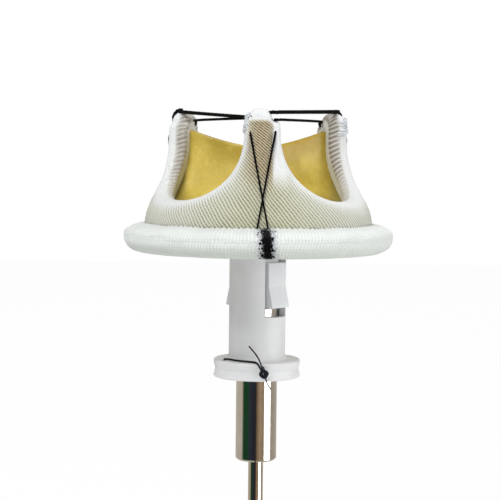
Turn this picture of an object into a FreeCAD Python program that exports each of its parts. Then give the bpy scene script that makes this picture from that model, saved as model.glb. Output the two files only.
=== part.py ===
"""Three-leaflet tissue heart valve on its holder, screwed to the end of its handle.

Frame: millimetres, +Z up along the valve's axis, origin on the axis in the plane of the sewing ring's inflow face.
The commissure posts stand up from the ring. The holder and the handle hang below it. The front post points to -Y.
"""
import FreeCAD
import Part
import math
import os

Vec = FreeCAD.Vector

# driving dimensions
POSTS = 3
POST_AZIMUTHS = [270.0, 30.0, 150.0]        # front, rear right, rear left
CUSP_NAMES = ["front_right", "rear", "front_left"]
POST_NAMES = ["front", "rear_right", "rear_left"]
ARC_SHARE = 0.45                            # share of the shorter run that a bend takes

# sewing ring
ring_width = 4.86
ring_height = 3.7
ring_top_round = 1.35
ring_bottom_round = 2.25
ring_inner_round = 0.4
ring_cloth = 0.45
marker_angle = 5.0
marker_thickness = 0.12

# stent walls, counted outwards from the lining's inner face
orifice_radius = 11.8
lining_thickness = 0.4
band_thickness = 0.35
skirt_thickness = 0.5
wall_gap = 0.03
stent_bottom = 0.4
foot_reach = 2.1
flare_height = 9.6

# crown: posts and scallops
tip_height = 18.8
scallop_height = 5.6
post_half_width = 1.15
crown_power = 3.0                           # shape of the scallops, 2 for an ellipse

# wireform and its cloth cover, which sits on the top edge of the stent's walls
wire_radius = 0.4
cover_gap = 0.05

# leaflets
leaflet_thickness = 0.4
leaflet_gap = 0.12
leaflet_clearance = 0.3
leaflet_tip_drop = 2.2
free_edge_dip = 2.6
coaptation_round = 0.35
leaflet_side_height = 3.3

# sutures
suture_radius = 0.19
cross_suture_radius = 0.11
cross_top_drop = 3.4
cross_spread_top = 1.75
cross_spread_foot = 0.75
cross_runs = 5
suture_gap = 0.04
suture_anchor_drop = 0.6
suture_anchor_side = 0.45
suture_tail = 1.6
strand_spacing = 0.75

# holder
hub_thickness = 2.0
hub_radius = 4.6
hub_arm_width = 3.2
hub_arm_gap = 0.2
hub_lift = 0.3
hub_eye_edge = 1.1
hub_eye_hole = 0.45
spigot_length = 1.3
spigot_gap = 0.03
sleeve_radius = 3.8
sleeve_wall = 0.85
flange_radius = 5.85
flange_top = -14.4
flange_thickness = 2.4
flange_groove = 0.25
flange_groove_width = 2.0
flange_round = 0.3
flange_waist = 0.48                         # place of the groove in the flange's thickness
sleeve_fillet = 0.6
window_azimuth = -43.0
window_width = 4.2
window_top = -0.6
latch_play = 1.2
latch_gap = 0.1
tie_hole_radius = 0.35
tie_hole_circle = 5.0
tie_hole_azimuth = -152.0

# tie suture on the flange, its knot and its cut tails
tie_radius = 0.13
tie_sink = 0.8
tie_bend = 16.0
knot_azimuth = -83.4
knot_radius = 0.5
knot_strand = 0.2
knot_loop = 0.42
tail_radius = 0.09
tail_rise = 3.9
tail_fall = 1.9
tail_spread = 2.2

# plunger
plunger_gap = 0.1
plunger_length = 6.3
barb_reach = 0.3
barb_length = 2.8
barb_lip = 0.3
barb_width = 3.4
barb_slit = 0.3
barb_root = 1.9
pad_drop = 0.35
pad_inset = 0.3

# handle
stud_radius = 1.45
stud_gap = 0.05
stud_length = 8.4
stud_engagement = 4.3
adapter_radius = 2.75
adapter_length = 20.8
adapter_chamfer = 0.25
rod_radius = 1.0
tang_radius = 0.8
rod_gap = 0.02
rod_seat = 8.0
rod_length = 23.0
rod_chamfer = 0.2

# worked out from the driving dimensions
band_inner = orifice_radius + lining_thickness + wall_gap
band_outer = band_inner + band_thickness
skirt_inner = band_outer + wall_gap
skirt_outer = skirt_inner + skirt_thickness
ring_inner_radius = skirt_outer + wall_gap
ring_outer_radius = ring_inner_radius + ring_width
foot_radius = skirt_outer + foot_reach
foot_bottom = ring_height + wall_gap
cover_radius = (skirt_outer - orifice_radius) / 2
cover_track = orifice_radius + cover_radius
cover_nadir = scallop_height + cover_gap + cover_radius
cover_top = tip_height - cover_radius
cover_side = post_half_width + cover_gap + cover_radius
wall_tip = cover_top - cover_radius - cover_gap
leaflet_radius = orifice_radius - leaflet_clearance - leaflet_thickness / 2
leaflet_nadir = scallop_height + cover_radius / 2
free_edge_post = tip_height - leaflet_tip_drop
free_edge_centre = free_edge_post - free_edge_dip
flap_offset = (leaflet_gap / 2 + leaflet_thickness / 2) / math.sin(math.radians(60))
hub_bottom = hub_lift
hub_top = hub_bottom + hub_thickness
hub_reach = orifice_radius - hub_arm_gap
hub_eye_radius = hub_reach - hub_eye_edge
sleeve_bore = sleeve_radius - sleeve_wall
plunger_radius = sleeve_bore - plunger_gap
plunger_top = hub_bottom - spigot_length
plunger_bottom = plunger_top - plunger_length
pad_top = plunger_top - pad_drop
pad_radius = sleeve_radius - pad_inset
window_bottom = plunger_bottom - latch_play - latch_gap
flange_bottom = flange_top - flange_thickness
waist_height = flange_bottom + flange_thickness * flange_waist
thread_bore = stud_radius + stud_gap
adapter_top = plunger_bottom
adapter_bottom = adapter_top - adapter_length
stud_top = adapter_top + stud_engagement
stud_bottom = stud_top - stud_length
rod_top = adapter_bottom + rod_seat
rod_bottom = rod_top - rod_length


def polar(radius, azimuth, height=0.0):
    """A point given by its radius, azimuth in degrees and height."""
    a = math.radians(azimuth)
    return Vec(radius * math.cos(a), radius * math.sin(a), height)


def turned(shape, azimuth):
    """A copy of the shape, turned about the valve's axis."""
    copy = shape.copy()
    copy.rotate(Vec(0, 0, 0), Vec(0, 0, 1), azimuth)
    return copy


def cylinder(radius, low, high):
    """An upright cylinder on the axis, between two heights."""
    return Part.makeCylinder(radius, high - low, Vec(0, 0, low))


def tube(outer, inner, low, high):
    """An upright tube on the axis."""
    return cylinder(outer, low, high).cut(cylinder(inner, low - 1, high + 1))


def box_at(azimuth, radial, width, low, high):
    """A box standing between two radii along an azimuth."""
    near, far = radial
    block = Part.makeBox(far - near, width, high - low, Vec(near, -width / 2, low))
    return turned(block, azimuth)


def path_edges(points, closed):
    """Straight runs through the points, joined by tangent arcs that are as large as the runs allow."""
    count = len(points)
    runs = [points[(i + 1) % count] - points[i] for i in range(count if closed else count - 1)]
    bends = {}
    for i in range(0 if closed else 1, count if closed else count - 1):
        before, after = runs[i - 1], runs[i]
        half_turn = before.getAngle(after) / 2
        reach = ARC_SHARE * min(before.Length, after.Length)
        start = points[i] - Vec(before).normalize() * reach
        end = points[i] + Vec(after).normalize() * reach
        radius = reach / math.tan(half_turn)
        inward = ((start + end) * 0.5 - points[i]).normalize()
        bends[i] = (start, points[i] + inward * (radius / math.cos(half_turn) - radius), end)
    edges = []
    for i in range(len(runs)):
        j = (i + 1) % count
        start = bends[i][2] if i in bends else points[i]
        end = bends[j][0] if j in bends else points[j]
        edges.append(Part.LineSegment(start, end).toShape())
        if j in bends:
            edges.append(Part.Arc(*bends[j]).toShape())
    return edges


def thread(points, radius, closed=False):
    """A round strand along straight runs and arcs, made of cylinder and torus faces."""
    edges = path_edges(points, closed)
    walls, ends = [], []
    for edge in edges:
        start = edge.valueAt(edge.FirstParameter)
        heading = edge.tangentAt(edge.FirstParameter)
        disc = Part.Face(Part.Wire([Part.makeCircle(radius, start, heading)]))
        if isinstance(edge.Curve, Part.Line):
            piece = disc.extrude(edge.valueAt(edge.LastParameter) - start)
        else:
            sweep = math.degrees(edge.LastParameter - edge.FirstParameter)
            piece = disc.revolve(edge.Curve.Center, edge.Curve.Axis, sweep)
        walls += [f for f in piece.Faces if not isinstance(f.Surface, Part.Plane)]
        ends += [f for f in piece.Faces if isinstance(f.Surface, Part.Plane)]
    if not closed:
        tips = (edges[0].valueAt(edges[0].FirstParameter), edges[-1].valueAt(edges[-1].LastParameter))
        walls += [min(ends, key=lambda f: f.CenterOfMass.distanceToPoint(tip)) for tip in tips]
    shell = Part.makeShell(walls)
    shell.sewShape()
    solid = Part.makeSolid(Part.Shell(shell.Faces))
    if solid.Volume < 0:
        solid.reverse()
    return solid


def crown_point(half_angle, nadir, top, turn):
    """Azimuth and height on one scallop, from the middle of the cusp. turn runs from -90 to 90 degrees."""
    power = 2.0 / crown_power
    sine, cosine = math.sin(math.radians(turn)), math.cos(math.radians(turn))
    azimuth = math.copysign(half_angle * abs(sine) ** power, turn)
    return azimuth, top - (top - nadir) * abs(cosine) ** power


def cusp_window(wall_radius):
    """A radial cutter for the opening between two posts, with the round of both post tips."""
    half_width, nadir, top = post_half_width, scallop_height, wall_tip
    post_angle = math.degrees(math.asin(half_width / wall_radius))
    half_angle = 60.0 - post_angle
    shoulder = top - half_width
    turns = [-78, -62, -45, -28, -10, 10, 28, 45, 62, 78]
    scallop = [crown_point(half_angle, nadir, shoulder, t) for t in turns]
    scallop = [(-half_angle, shoulder)] + scallop + [(half_angle, shoulder)]
    dome = []
    for t in (0, 30, 60, 90):
        sweep = math.radians(t)
        dome.append((half_angle + post_angle * (1 - math.cos(sweep)), shoulder + half_width * math.sin(sweep)))
    past = 60.0 + post_angle / 4
    above = top + tip_height / 3

    def outline(reach):
        def spot(pair):
            return Vec(reach, reach * math.tan(math.radians(pair[0])), pair[1])

        def curve(pairs):
            spline = Part.BSplineCurve()
            steps = [i / (len(pairs) - 1) for i in range(len(pairs))]
            spline.interpolate(Points=[spot(p) for p in pairs], Parameters=steps)
            return spline.toShape()

        right = curve(dome)
        left = curve([(-a, z) for a, z in reversed(dome)])
        corners = [dome[-1], (past, top), (past, above), (-past, above), (-past, top), (-dome[-1][0], top)]
        lines = [Part.LineSegment(spot(a), spot(b)).toShape() for a, b in zip(corners, corners[1:])]
        return Part.Wire([curve(scallop), right, *lines, left])

    return Part.makeLoft([outline(orifice_radius / 3), outline(orifice_radius * 2)], True, True)


def with_windows(shell, wall_radius):
    """The shell with the openings of all cusps cut through it."""
    cutter = cusp_window(wall_radius)
    for azimuth in POST_AZIMUTHS:
        shell = shell.cut(turned(cutter, azimuth + 60.0))
    return shell


def revolved(edges):
    """A solid of revolution about the axis from a closed outline in the XZ plane."""
    return Part.Face(Part.Wire(edges)).revolve(Vec(0, 0, 0), Vec(0, 0, 1), 360)


def outline_lines(points):
    """Straight edges through points given as (radius, height)."""
    spots = [Vec(r, 0, z) for r, z in points]
    return [Part.LineSegment(a, b).toShape() for a, b in zip(spots, spots[1:])]


def rim_edges(shape, radius, height):
    """The full circles of a shape that have a given radius and height."""
    return [
        e for e in shape.Edges
        if len(e.Vertexes) == 1
        and abs(e.Curve.Radius - radius) < 1e-6
        and abs(e.Vertexes[0].Z - height) < 1e-6
    ]


def ring_section(grow):
    """The rounded body of the sewing ring, grown outwards by a distance."""
    near, far = ring_inner_radius - min(grow, 0.0), ring_outer_radius + grow
    low, high = -grow, ring_height + grow
    block = tube(far, near, low, high)
    block = block.makeFillet(ring_top_round + grow, rim_edges(block, far, high))
    block = block.makeFillet(ring_bottom_round + grow, rim_edges(block, far, low))
    inner = rim_edges(block, near, low) + rim_edges(block, near, high)
    return block.makeFillet(ring_inner_round, inner)


def make_ring():
    """Padded sewing ring: a silicone core inside a knitted cover."""
    outside = ring_section(0.0)
    core = ring_section(-ring_cloth)
    return {"ring_cover": outside.cut(core), "ring_core": core}


def make_ring_markers():
    """Black guide stitches over the ring's rim, one below each post."""
    band = ring_section(marker_thickness).cut(ring_section(0.0))
    marks = []
    for azimuth in POST_AZIMUTHS:
        width = 2 * ring_outer_radius * math.sin(math.radians(marker_angle / 2))
        reach = (foot_radius + suture_gap, ring_outer_radius + 1)
        marks.append(band.common(box_at(azimuth, reach, width, 0, ring_height + 1)))
    return Part.makeCompound(marks)


def skirt_radius(height):
    """Outer radius of the skirt, which flares out towards its foot on the ring."""
    t = min(max((height - foot_bottom) / flare_height, 0.0), 1.0)
    return skirt_outer + foot_reach * (1 - t) ** 3 * (1 + 3 * t)


def make_skirt():
    """Twill cover of the stent's outside, with a flared foot that lies on the sewing ring."""
    steps = 7
    heights = [foot_bottom + flare_height * i / steps for i in range(steps + 1)]
    flank = Part.BSplineCurve()
    flank.interpolate([Vec(skirt_radius(z), 0, z) for z in heights])
    edges = outline_lines([
        (skirt_outer, heights[-1]),
        (skirt_outer, tip_height),
        (skirt_inner, tip_height),
        (skirt_inner, stent_bottom),
        (skirt_outer, stent_bottom),
        (skirt_outer, foot_bottom),
        (foot_radius, foot_bottom),
    ])
    shell = revolved([flank.toShape(), *edges])
    return with_windows(shell, skirt_outer)


def make_stent():
    """Thin band with three posts, and the woven lining on its inside."""
    band = tube(band_outer, band_inner, stent_bottom, tip_height)
    lining = tube(band_inner - wall_gap, orifice_radius, stent_bottom, tip_height)
    return {"stent_band": with_windows(band, band_outer), "stent_lining": with_windows(lining, orifice_radius)}


def make_wireform():
    """The closed three-scallop wire, and the cloth roll that covers it."""
    half_angle = 60.0 - math.degrees(math.asin(cover_side / cover_track))
    turns = [-80, -66, -50, -36, -24, -14, -6, 0, 6, 14, 24, 36, 50, 66, 80]
    points = []
    for azimuth in POST_AZIMUTHS:
        middle = azimuth + 60.0
        points.append(polar(cover_track, middle - half_angle, cover_top))
        for t in turns:
            a, z = crown_point(half_angle, cover_nadir, cover_top, t)
            points.append(polar(cover_track, middle + a, z))
        points.append(polar(cover_track, middle + half_angle, cover_top))
    wire = thread(points, wire_radius, closed=True)
    roll = thread(points, cover_radius, closed=True)
    return {"wireform": wire, "wireform_cover": roll.cut(wire)}


def leaflet_point(across, rise):
    """Middle of a closed leaflet. across runs from -1 to 1 between its posts, rise from the seam to the free edge."""
    side_turn = math.degrees(math.acos((leaflet_side_height / (free_edge_post - leaflet_nadir)) ** (crown_power / 2)))
    corner = Vec(flap_offset + leaflet_radius / 2, leaflet_radius * math.sin(math.radians(60)), 0)
    seam_radius = corner.Length
    half_angle = math.degrees(math.atan2(corner.y, corner.x))
    azimuth, height = crown_point(half_angle, leaflet_nadir, free_edge_post, across * side_turn)
    stretch = half_angle / abs(crown_point(half_angle, leaflet_nadir, free_edge_post, side_turn)[0])
    seam = polar(seam_radius, azimuth * stretch, height)
    y = across * corner.y
    x = flap_offset + math.hypot(y / math.tan(math.radians(60)), coaptation_round * (1 - across ** 2))
    free = Vec(x, y, free_edge_centre + free_edge_dip * abs(across) ** 1.5)
    inward = 1 - (1 - rise) ** 2.2
    upward = rise ** 1.5
    return Vec(
        seam.x + (free.x - seam.x) * inward,
        seam.y + (free.y - seam.y) * inward,
        seam.z + (free.z - seam.z) * upward,
    )


def leaflet_face(side):
    """One face of the leaflet, half its thickness off the middle surface."""
    rows = []
    step = 0.01
    for i in range(13):
        across = math.sin(math.radians(-90 + 15 * i))
        row = []
        for j in range(8):
            rise = j / 7
            a = leaflet_point(min(across + step, 1), rise) - leaflet_point(max(across - step, -1), rise)
            b = leaflet_point(across, min(rise + step, 1)) - leaflet_point(across, max(rise - step, 0))
            normal = a.cross(b).normalize()
            row.append(leaflet_point(across, rise) + normal * (side * leaflet_thickness / 2))
        rows.append(row)
    surface = Part.BSplineSurface()
    surface.interpolate(rows)
    return surface


def make_leaflet():
    """A closed leaflet of tissue, sewn to the stent along its seam and free along its top edge."""
    outer, inner = leaflet_face(1), leaflet_face(-1)
    faces = [outer.toShape(), inner.toShape()]
    u0, u1, v0, v1 = outer.bounds()
    for along_u, value in ((True, u0), (True, u1), (False, v0), (False, v1)):
        pair = [s.uIso(value) if along_u else s.vIso(value) for s in (outer, inner)]
        faces.append(Part.makeRuledSurface(pair[0].toShape(), pair[1].toShape()))
    shell = Part.makeShell(faces)
    shell.sewShape()
    solid = Part.makeSolid(shell)
    if solid.Volume < 0:
        solid.reverse()
    return solid


def tip_frame(azimuth, radius, sideways, height):
    """A point near a post, from its radius, its distance sideways from the post's middle and its height."""
    out = polar(1.0, azimuth)
    side = polar(1.0, azimuth + 90)
    return out * radius + side * sideways + Vec(0, 0, height)


def make_tip_sutures():
    """Two black strands from the inside of the front post to each rear post. The upper one goes over the tip."""
    parts = {}
    over = tip_height + suture_radius + suture_gap
    outside = skirt_outer + suture_radius + 2 * suture_gap
    inside = orifice_radius - suture_radius - 2 * suture_gap
    anchor = tip_height - suture_anchor_drop
    front = POST_AZIMUTHS[0]
    for name, azimuth, side in (("front_right", POST_AZIMUTHS[1], 1), ("front_left", POST_AZIMUTHS[2], -1)):
        upper = [
            tip_frame(front, inside, side * suture_anchor_side, anchor),
            tip_frame(azimuth, inside, 0, over + suture_gap),
            tip_frame(azimuth, outside, side * suture_anchor_side, over + suture_gap),
            tip_frame(azimuth, outside, side * suture_anchor_side, over - suture_tail),
        ]
        lower = [
            tip_frame(front, inside, side * suture_anchor_side, anchor - strand_spacing),
            tip_frame(azimuth, inside, -side * suture_anchor_side, anchor - strand_spacing),
        ]
        parts["tip_sutures_" + name] = Part.makeCompound([
            thread(upper, suture_radius),
            thread(lower, suture_radius),
        ])
    return parts


def make_cross_sutures():
    """Two thin strands that cross on the outside of each post and lie on the cloth down to the ring."""
    parts = {}
    top = tip_height - cross_top_drop
    foot = foot_bottom + cross_suture_radius + 2 * suture_gap
    for azimuth, name in zip(POST_AZIMUTHS, POST_NAMES):
        strands = []
        for side, lift in ((-1, 0.0), (1, 2 * cross_suture_radius + suture_gap)):
            clear = cross_suture_radius + 3 * suture_gap + lift
            points = []
            for i in range(cross_runs + 1):
                t = i / cross_runs
                height = top + (foot - top) * t
                sideways = side * (cross_spread_top - (cross_spread_top + cross_spread_foot) * t)
                out = math.sqrt((skirt_radius(height) + clear) ** 2 - sideways ** 2)
                points.append(tip_frame(azimuth, out, sideways, height))
            strands.append(thread(points, cross_suture_radius))
        parts["cross_sutures_" + name] = Part.makeCompound(strands)
    return parts


def make_hub():
    """Three-armed hub of the holder, which sits inside the ring's inflow side."""
    hub = cylinder(hub_radius, hub_bottom, hub_top)
    for azimuth in POST_AZIMUTHS:
        arm = box_at(azimuth, (0, hub_reach + 1), hub_arm_width, hub_bottom, hub_top)
        hub = hub.fuse(arm.common(cylinder(hub_reach, hub_bottom, hub_top)))
    for azimuth in POST_AZIMUTHS:
        hole = Part.makeCylinder(hub_eye_hole, hub_thickness + 2, polar(hub_eye_radius, azimuth, hub_bottom - 1))
        hub = hub.cut(hole)
    spigot = cylinder(sleeve_bore - spigot_gap, plunger_top, hub_bottom)
    return hub.fuse(spigot).removeSplitter()


def make_hub_ties():
    """Sutures that tie the hub's arms to the cloth: through each arm's eye and out below the arm."""
    loops = []
    low = hub_bottom - cross_suture_radius - suture_gap
    for azimuth in POST_AZIMUTHS:
        points = [
            polar(hub_eye_radius, azimuth, hub_top),
            polar(hub_eye_radius, azimuth, low),
            polar(orifice_radius - suture_gap, azimuth, low),
        ]
        loops.append(thread(points, cross_suture_radius))
    return Part.makeCompound(loops)


def make_sleeve():
    """Round sleeve with two latch windows and a grooved flange."""
    body = cylinder(sleeve_radius, flange_bottom, hub_bottom)
    flange = cylinder(flange_radius, flange_bottom, flange_top)
    body = body.fuse(flange)
    body = body.makeFillet(sleeve_fillet, rim_edges(body, sleeve_radius, flange_top))
    rims = [e for e in body.Edges if len(e.Vertexes) == 1 and abs(e.Curve.Radius - flange_radius) < 1e-6]
    body = body.makeFillet(flange_round, rims)
    lip, middle, floor = flange_radius + flange_groove, waist_height, flange_radius - flange_groove
    groove = revolved(outline_lines([
        (lip, middle + flange_groove_width),
        (floor, middle),
        (lip, middle - flange_groove_width),
        (lip, middle + flange_groove_width),
    ]))
    body = body.cut(groove).cut(cylinder(sleeve_bore, flange_bottom - 1, hub_bottom + 1))
    for azimuth in (window_azimuth, window_azimuth + 180):
        reach = (sleeve_bore / 2, sleeve_radius + 1)
        body = body.cut(box_at(azimuth, reach, window_width, window_bottom, window_top))
    for azimuth in (tie_hole_azimuth, knot_azimuth):
        spot = polar(tie_hole_circle, azimuth, flange_bottom - 1)
        body = body.cut(Part.makeCylinder(tie_hole_radius, flange_thickness + 2, spot))
    return body


def make_plunger():
    """Plunger inside the sleeve. Its two barbed tongues have snapped out into the sleeve's windows."""
    body = cylinder(plunger_radius, plunger_bottom, plunger_top)
    tip = sleeve_radius + barb_reach
    for azimuth in (window_azimuth, window_azimuth + 180):
        wedge_points = [
            Vec(barb_root, 0, plunger_bottom),
            Vec(tip, 0, plunger_bottom),
            Vec(tip, 0, plunger_bottom + barb_lip),
            Vec(pad_radius, 0, plunger_bottom + barb_length),
            Vec(pad_radius, 0, pad_top),
            Vec(barb_root, 0, pad_top),
            Vec(barb_root, 0, plunger_bottom),
        ]
        face = Part.Face(Part.makePolygon([p - Vec(0, barb_width / 2, 0) for p in wedge_points]))
        body = body.fuse(turned(face.extrude(Vec(0, barb_width, 0)), azimuth))
    for azimuth in (window_azimuth, window_azimuth + 180):
        for side in (-1, 1):
            slit = Part.makeBox(
                pad_radius - barb_root, barb_slit, barb_length + 2,
                Vec(barb_root, side * (barb_width + barb_slit) / 2 - barb_slit / 2, plunger_bottom - 1),
            )
            body = body.cut(turned(slit, azimuth))
    bore = cylinder(thread_bore, plunger_bottom - 1, stud_top + 0.3)
    return body.cut(bore)


def make_handle():
    """Steel adapter with its threaded stud, and the rod that carries it."""
    adapter = cylinder(adapter_radius, adapter_bottom, adapter_top)
    rims = [e for e in adapter.Edges if len(e.Vertexes) == 1]
    adapter = adapter.makeChamfer(adapter_chamfer, rims)
    adapter = adapter.cut(cylinder(stud_radius + rod_gap, stud_bottom - rod_gap, adapter_top + 1))
    adapter = adapter.cut(cylinder(tang_radius + rod_gap, adapter_bottom - 1, rod_top + rod_gap))
    stud = cylinder(stud_radius, stud_bottom, stud_top)
    ends = [e for e in stud.Edges if len(e.Vertexes) == 1 and e.Vertexes[0].Z > stud_bottom + 0.1]
    stud = stud.makeChamfer(0.3, ends)
    rod = cylinder(rod_radius, rod_bottom, adapter_bottom)
    ends = [e for e in rod.Edges if len(e.Vertexes) == 1 and e.Vertexes[0].Z < adapter_bottom - 0.1]
    rod = rod.makeChamfer(rod_chamfer, ends)
    rod = rod.fuse(cylinder(tang_radius, adapter_bottom, rod_top))
    return {"handle_adapter": adapter, "threaded_stud": stud, "handle_rod": rod}


def make_tie():
    """Tie suture on the flange: the strand over its top, the knot on its edge and the cut tails."""
    lie = flange_top + tie_radius + suture_gap
    edge = flange_radius + tie_radius + 2 * suture_gap
    centre = polar(flange_radius + knot_radius + 2 * suture_gap, knot_azimuth, waist_height)
    run = thread([
        polar(tie_hole_circle, tie_hole_azimuth, flange_top - tie_sink),
        polar(tie_hole_circle, tie_hole_azimuth, lie),
        polar(tie_hole_circle, knot_azimuth - tie_bend, lie),
        polar(edge, knot_azimuth - tie_bend / 2, lie),
        centre,
    ], tie_radius)
    knot = Part.makeSphere(knot_radius, centre)
    for axis in (Vec(1, 0, 0.4), Vec(0.2, 1, 0.6), Vec(-0.5, 0.3, 1)):
        knot = knot.fuse(Part.makeTorus(knot_loop, knot_strand, centre, axis))
    out = polar(knot_radius, knot_azimuth)
    side = polar(1.0, knot_azimuth + 90)
    ends = [
        centre + out - side * tail_spread + Vec(0, 0, tail_rise),
        centre + out + side * tail_spread / 3 - Vec(0, 0, tail_fall),
    ]
    tails = [thread([centre + out / 2, end], tail_radius) for end in ends]
    return {
        "tie_suture": run.cut(knot),
        "tie_knot": knot,
        "tie_tails": Part.makeCompound([tail.cut(knot) for tail in tails]),
    }


def main():
    parts = {}
    parts.update(make_ring())
    parts["ring_markers"] = make_ring_markers()
    parts["skirt_cloth"] = make_skirt()
    parts.update(make_stent())
    parts.update(make_wireform())
    leaflet = make_leaflet()
    for name, azimuth in zip(CUSP_NAMES, POST_AZIMUTHS):
        parts["leaflet_" + name] = turned(leaflet, azimuth + 60.0)
    parts.update(make_tip_sutures())
    parts.update(make_cross_sutures())
    parts["holder_hub"] = make_hub()
    parts["hub_ties"] = make_hub_ties()
    parts["holder_sleeve"] = make_sleeve()
    parts["holder_plunger"] = make_plunger()
    parts.update(make_handle())
    parts.update(make_tie())
    os.makedirs("parts", exist_ok=True)
    for name, shape in parts.items():
        shape.exportStep(os.path.join("parts", name + ".step"))
        print(name, shape.ShapeType, len(shape.Solids), shape.isValid(), round(shape.Volume, 3), flush=True)


main()
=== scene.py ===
"""Looks of the tissue valve on its holder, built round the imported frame.

Metres, +Z up along the valve's axis, with the front post at -Y and the handle below.
"""
import math
import random

import bmesh
import bpy
import numpy as np
from mathutils import Matrix, Quaternion, Vector, noise
from mathutils.geometry import delaunay_2d_cdt


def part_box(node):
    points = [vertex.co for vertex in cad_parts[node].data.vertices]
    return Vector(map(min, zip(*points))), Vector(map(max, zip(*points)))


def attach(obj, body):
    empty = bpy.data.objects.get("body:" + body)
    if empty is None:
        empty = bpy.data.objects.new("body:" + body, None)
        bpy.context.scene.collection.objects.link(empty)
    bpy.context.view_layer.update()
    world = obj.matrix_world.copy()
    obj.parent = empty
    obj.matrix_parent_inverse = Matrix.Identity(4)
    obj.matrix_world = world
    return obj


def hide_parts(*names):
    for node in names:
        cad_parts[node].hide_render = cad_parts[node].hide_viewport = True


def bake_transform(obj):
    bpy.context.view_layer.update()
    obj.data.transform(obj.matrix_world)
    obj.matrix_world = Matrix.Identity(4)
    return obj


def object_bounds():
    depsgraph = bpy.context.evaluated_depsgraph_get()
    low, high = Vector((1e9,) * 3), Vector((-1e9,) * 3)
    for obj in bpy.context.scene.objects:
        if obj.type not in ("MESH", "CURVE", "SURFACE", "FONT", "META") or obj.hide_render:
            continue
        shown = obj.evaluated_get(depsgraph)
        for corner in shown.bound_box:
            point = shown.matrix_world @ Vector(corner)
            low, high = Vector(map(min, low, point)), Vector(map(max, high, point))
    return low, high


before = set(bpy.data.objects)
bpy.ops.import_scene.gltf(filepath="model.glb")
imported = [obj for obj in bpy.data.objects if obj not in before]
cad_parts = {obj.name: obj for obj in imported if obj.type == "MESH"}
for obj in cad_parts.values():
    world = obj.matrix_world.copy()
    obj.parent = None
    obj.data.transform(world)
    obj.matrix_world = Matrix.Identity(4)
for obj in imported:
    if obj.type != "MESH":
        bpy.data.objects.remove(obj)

MM = 0.001
CAD_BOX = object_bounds()
CUSPS = {"front_right": 330.0, "rear": 90.0, "front_left": 210.0}
POSTS = {"front": 270.0, "rear_right": 30.0, "rear_left": 150.0}

# sizes read from the frame, in millimetres
ring_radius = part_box("ring_cover")[1].x / MM
ring_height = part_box("ring_cover")[1].z / MM
foot_radius = -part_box("skirt_cloth")[0].y / MM
tip_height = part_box("wireform_cover")[1].z / MM
wall_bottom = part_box("skirt_cloth")[0].z / MM

# sewing ring, in millimetres
ring_inside = 13.14
ring_middle = 15.5
nose_height = 2.3
ring_ribs = 258                   # knitted ribs once round the ring

# cloth crown, in millimetres
crown_radius = 13.11              # over the stent, above the flare
band_radius = 12.61               # cloth's inner face against the stent's band
lining_inside = 11.8
lining_outside = 12.2
flare_height = 9.6
foot_height = ring_height + 0.03
inside_low = 4.6                  # lower end of the cloth that is folded inwards
inside_radius = 11.3              # inner face of the folded cloth, at its low end
inside_draw = 0.8                 # how much nearer the axis it is at the posts
crest_radius = 12.25              # top line of the fold, at the scallops' low ends
crest_draw = 0.35
fold_depth = 0.8                  # width of the fold's inner rounding
roll_reach = 0.95                 # width of its outer rounding, over the stent
foot_reach = 0.55                 # what the flare adds to that, for each mm
dome_foot = 16.9                  # the posts' tips are white above this height
strip_foot = 8.0                  # the bare strip beside a post starts at this height
strip_side = 1.15                 # and this far from the post's middle
groove_side = 1.3                 # groove along the strip
groove_depth = 0.16
stitch_pitch = 0.62               # along the stitched roll
lining_top = 5.3
wire_inset = 0.62                 # from the cloth's edge to the wire's middle
wire_track = 12.35                # radius that the wire runs at
wire_radius = 0.3
window_nadir = 6.96               # low end of the cloth's scallops
scallop_top = 16.3
post_half_width = 2.5
edge_power = 2.35                 # roundness of the cloth's scallops
leaflet_power = 3.0               # roundness of the leaflets' seams
edge_step = 0.125                 # between the net's points on the edge
net_step = 0.17                   # and inside it
twill_ribs = 186                  # ribs once round the crown
sector_half = crown_radius * math.pi / 3  # from the middle of a cusp to the middle of a post

# leaflets, in millimetres
leaflet_thickness = 0.4
leaflet_radius = 11.3
leaflet_nadir = 5.93
free_edge_post = 16.6
free_edge_dip = 2.6               # how much lower the free edge is at its middle
coaptation_round = 0.35           # rounding where the three leaflets meet
leaflet_side_height = 3.3         # height of a leaflet's straight side at a post
flap_offset = 0.3

SECTION_STEPS = 16                # points round a strand
PLY_DEPTH = 0.12                  # relief of its plies, as a share of its radius


def polar(radius, azimuth, height=0.0):
    """A point in millimetres from its radius, azimuth in degrees and height."""
    a = math.radians(azimuth)
    return Vector((radius * math.cos(a), radius * math.sin(a), height))


def lerp(a, b, t):
    return a + (b - a) * t


def smooth(t):
    t = min(max(t, 0.0), 1.0)
    return t * t * (3 - 2 * t)


def bell(x, width):
    return math.exp(-((x / width) ** 2))


def add_object(name, data):
    made = bpy.data.objects.new(name, data)
    bpy.context.scene.collection.objects.link(made)
    return made


# meshes

def mesh_object(name, points, faces, **layers):
    """A smooth-shaded object from points in millimetres.

    Each layer holds one pair of numbers for each point.
    """
    mesh = bpy.data.meshes.new(name)
    mesh.from_pydata([p * MM for p in points], [], faces)
    corners = np.empty(len(mesh.loops), dtype=np.int32)
    mesh.loops.foreach_get("vertex_index", corners)
    for key, pairs in layers.items():
        layer = mesh.uv_layers.new(name=key)
        layer.data.foreach_set("uv", np.array(pairs, dtype=np.float32)[corners].ravel())
    mesh.polygons.foreach_set("use_smooth", [True] * len(mesh.polygons))
    mesh.update()
    return add_object(name, mesh)


def grid_faces(rows, columns, close_rows, close_columns):
    """Quads over a grid of points that is stored row by row."""
    faces = []
    for i in range(rows if close_rows else rows - 1):
        for j in range(columns if close_columns else columns - 1):
            a, b = i * columns + j, i * columns + (j + 1) % columns
            c, d = ((i + 1) % rows) * columns + (j + 1) % columns, ((i + 1) % rows) * columns + j
            faces.append((a, b, c, d))
    return faces


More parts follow.
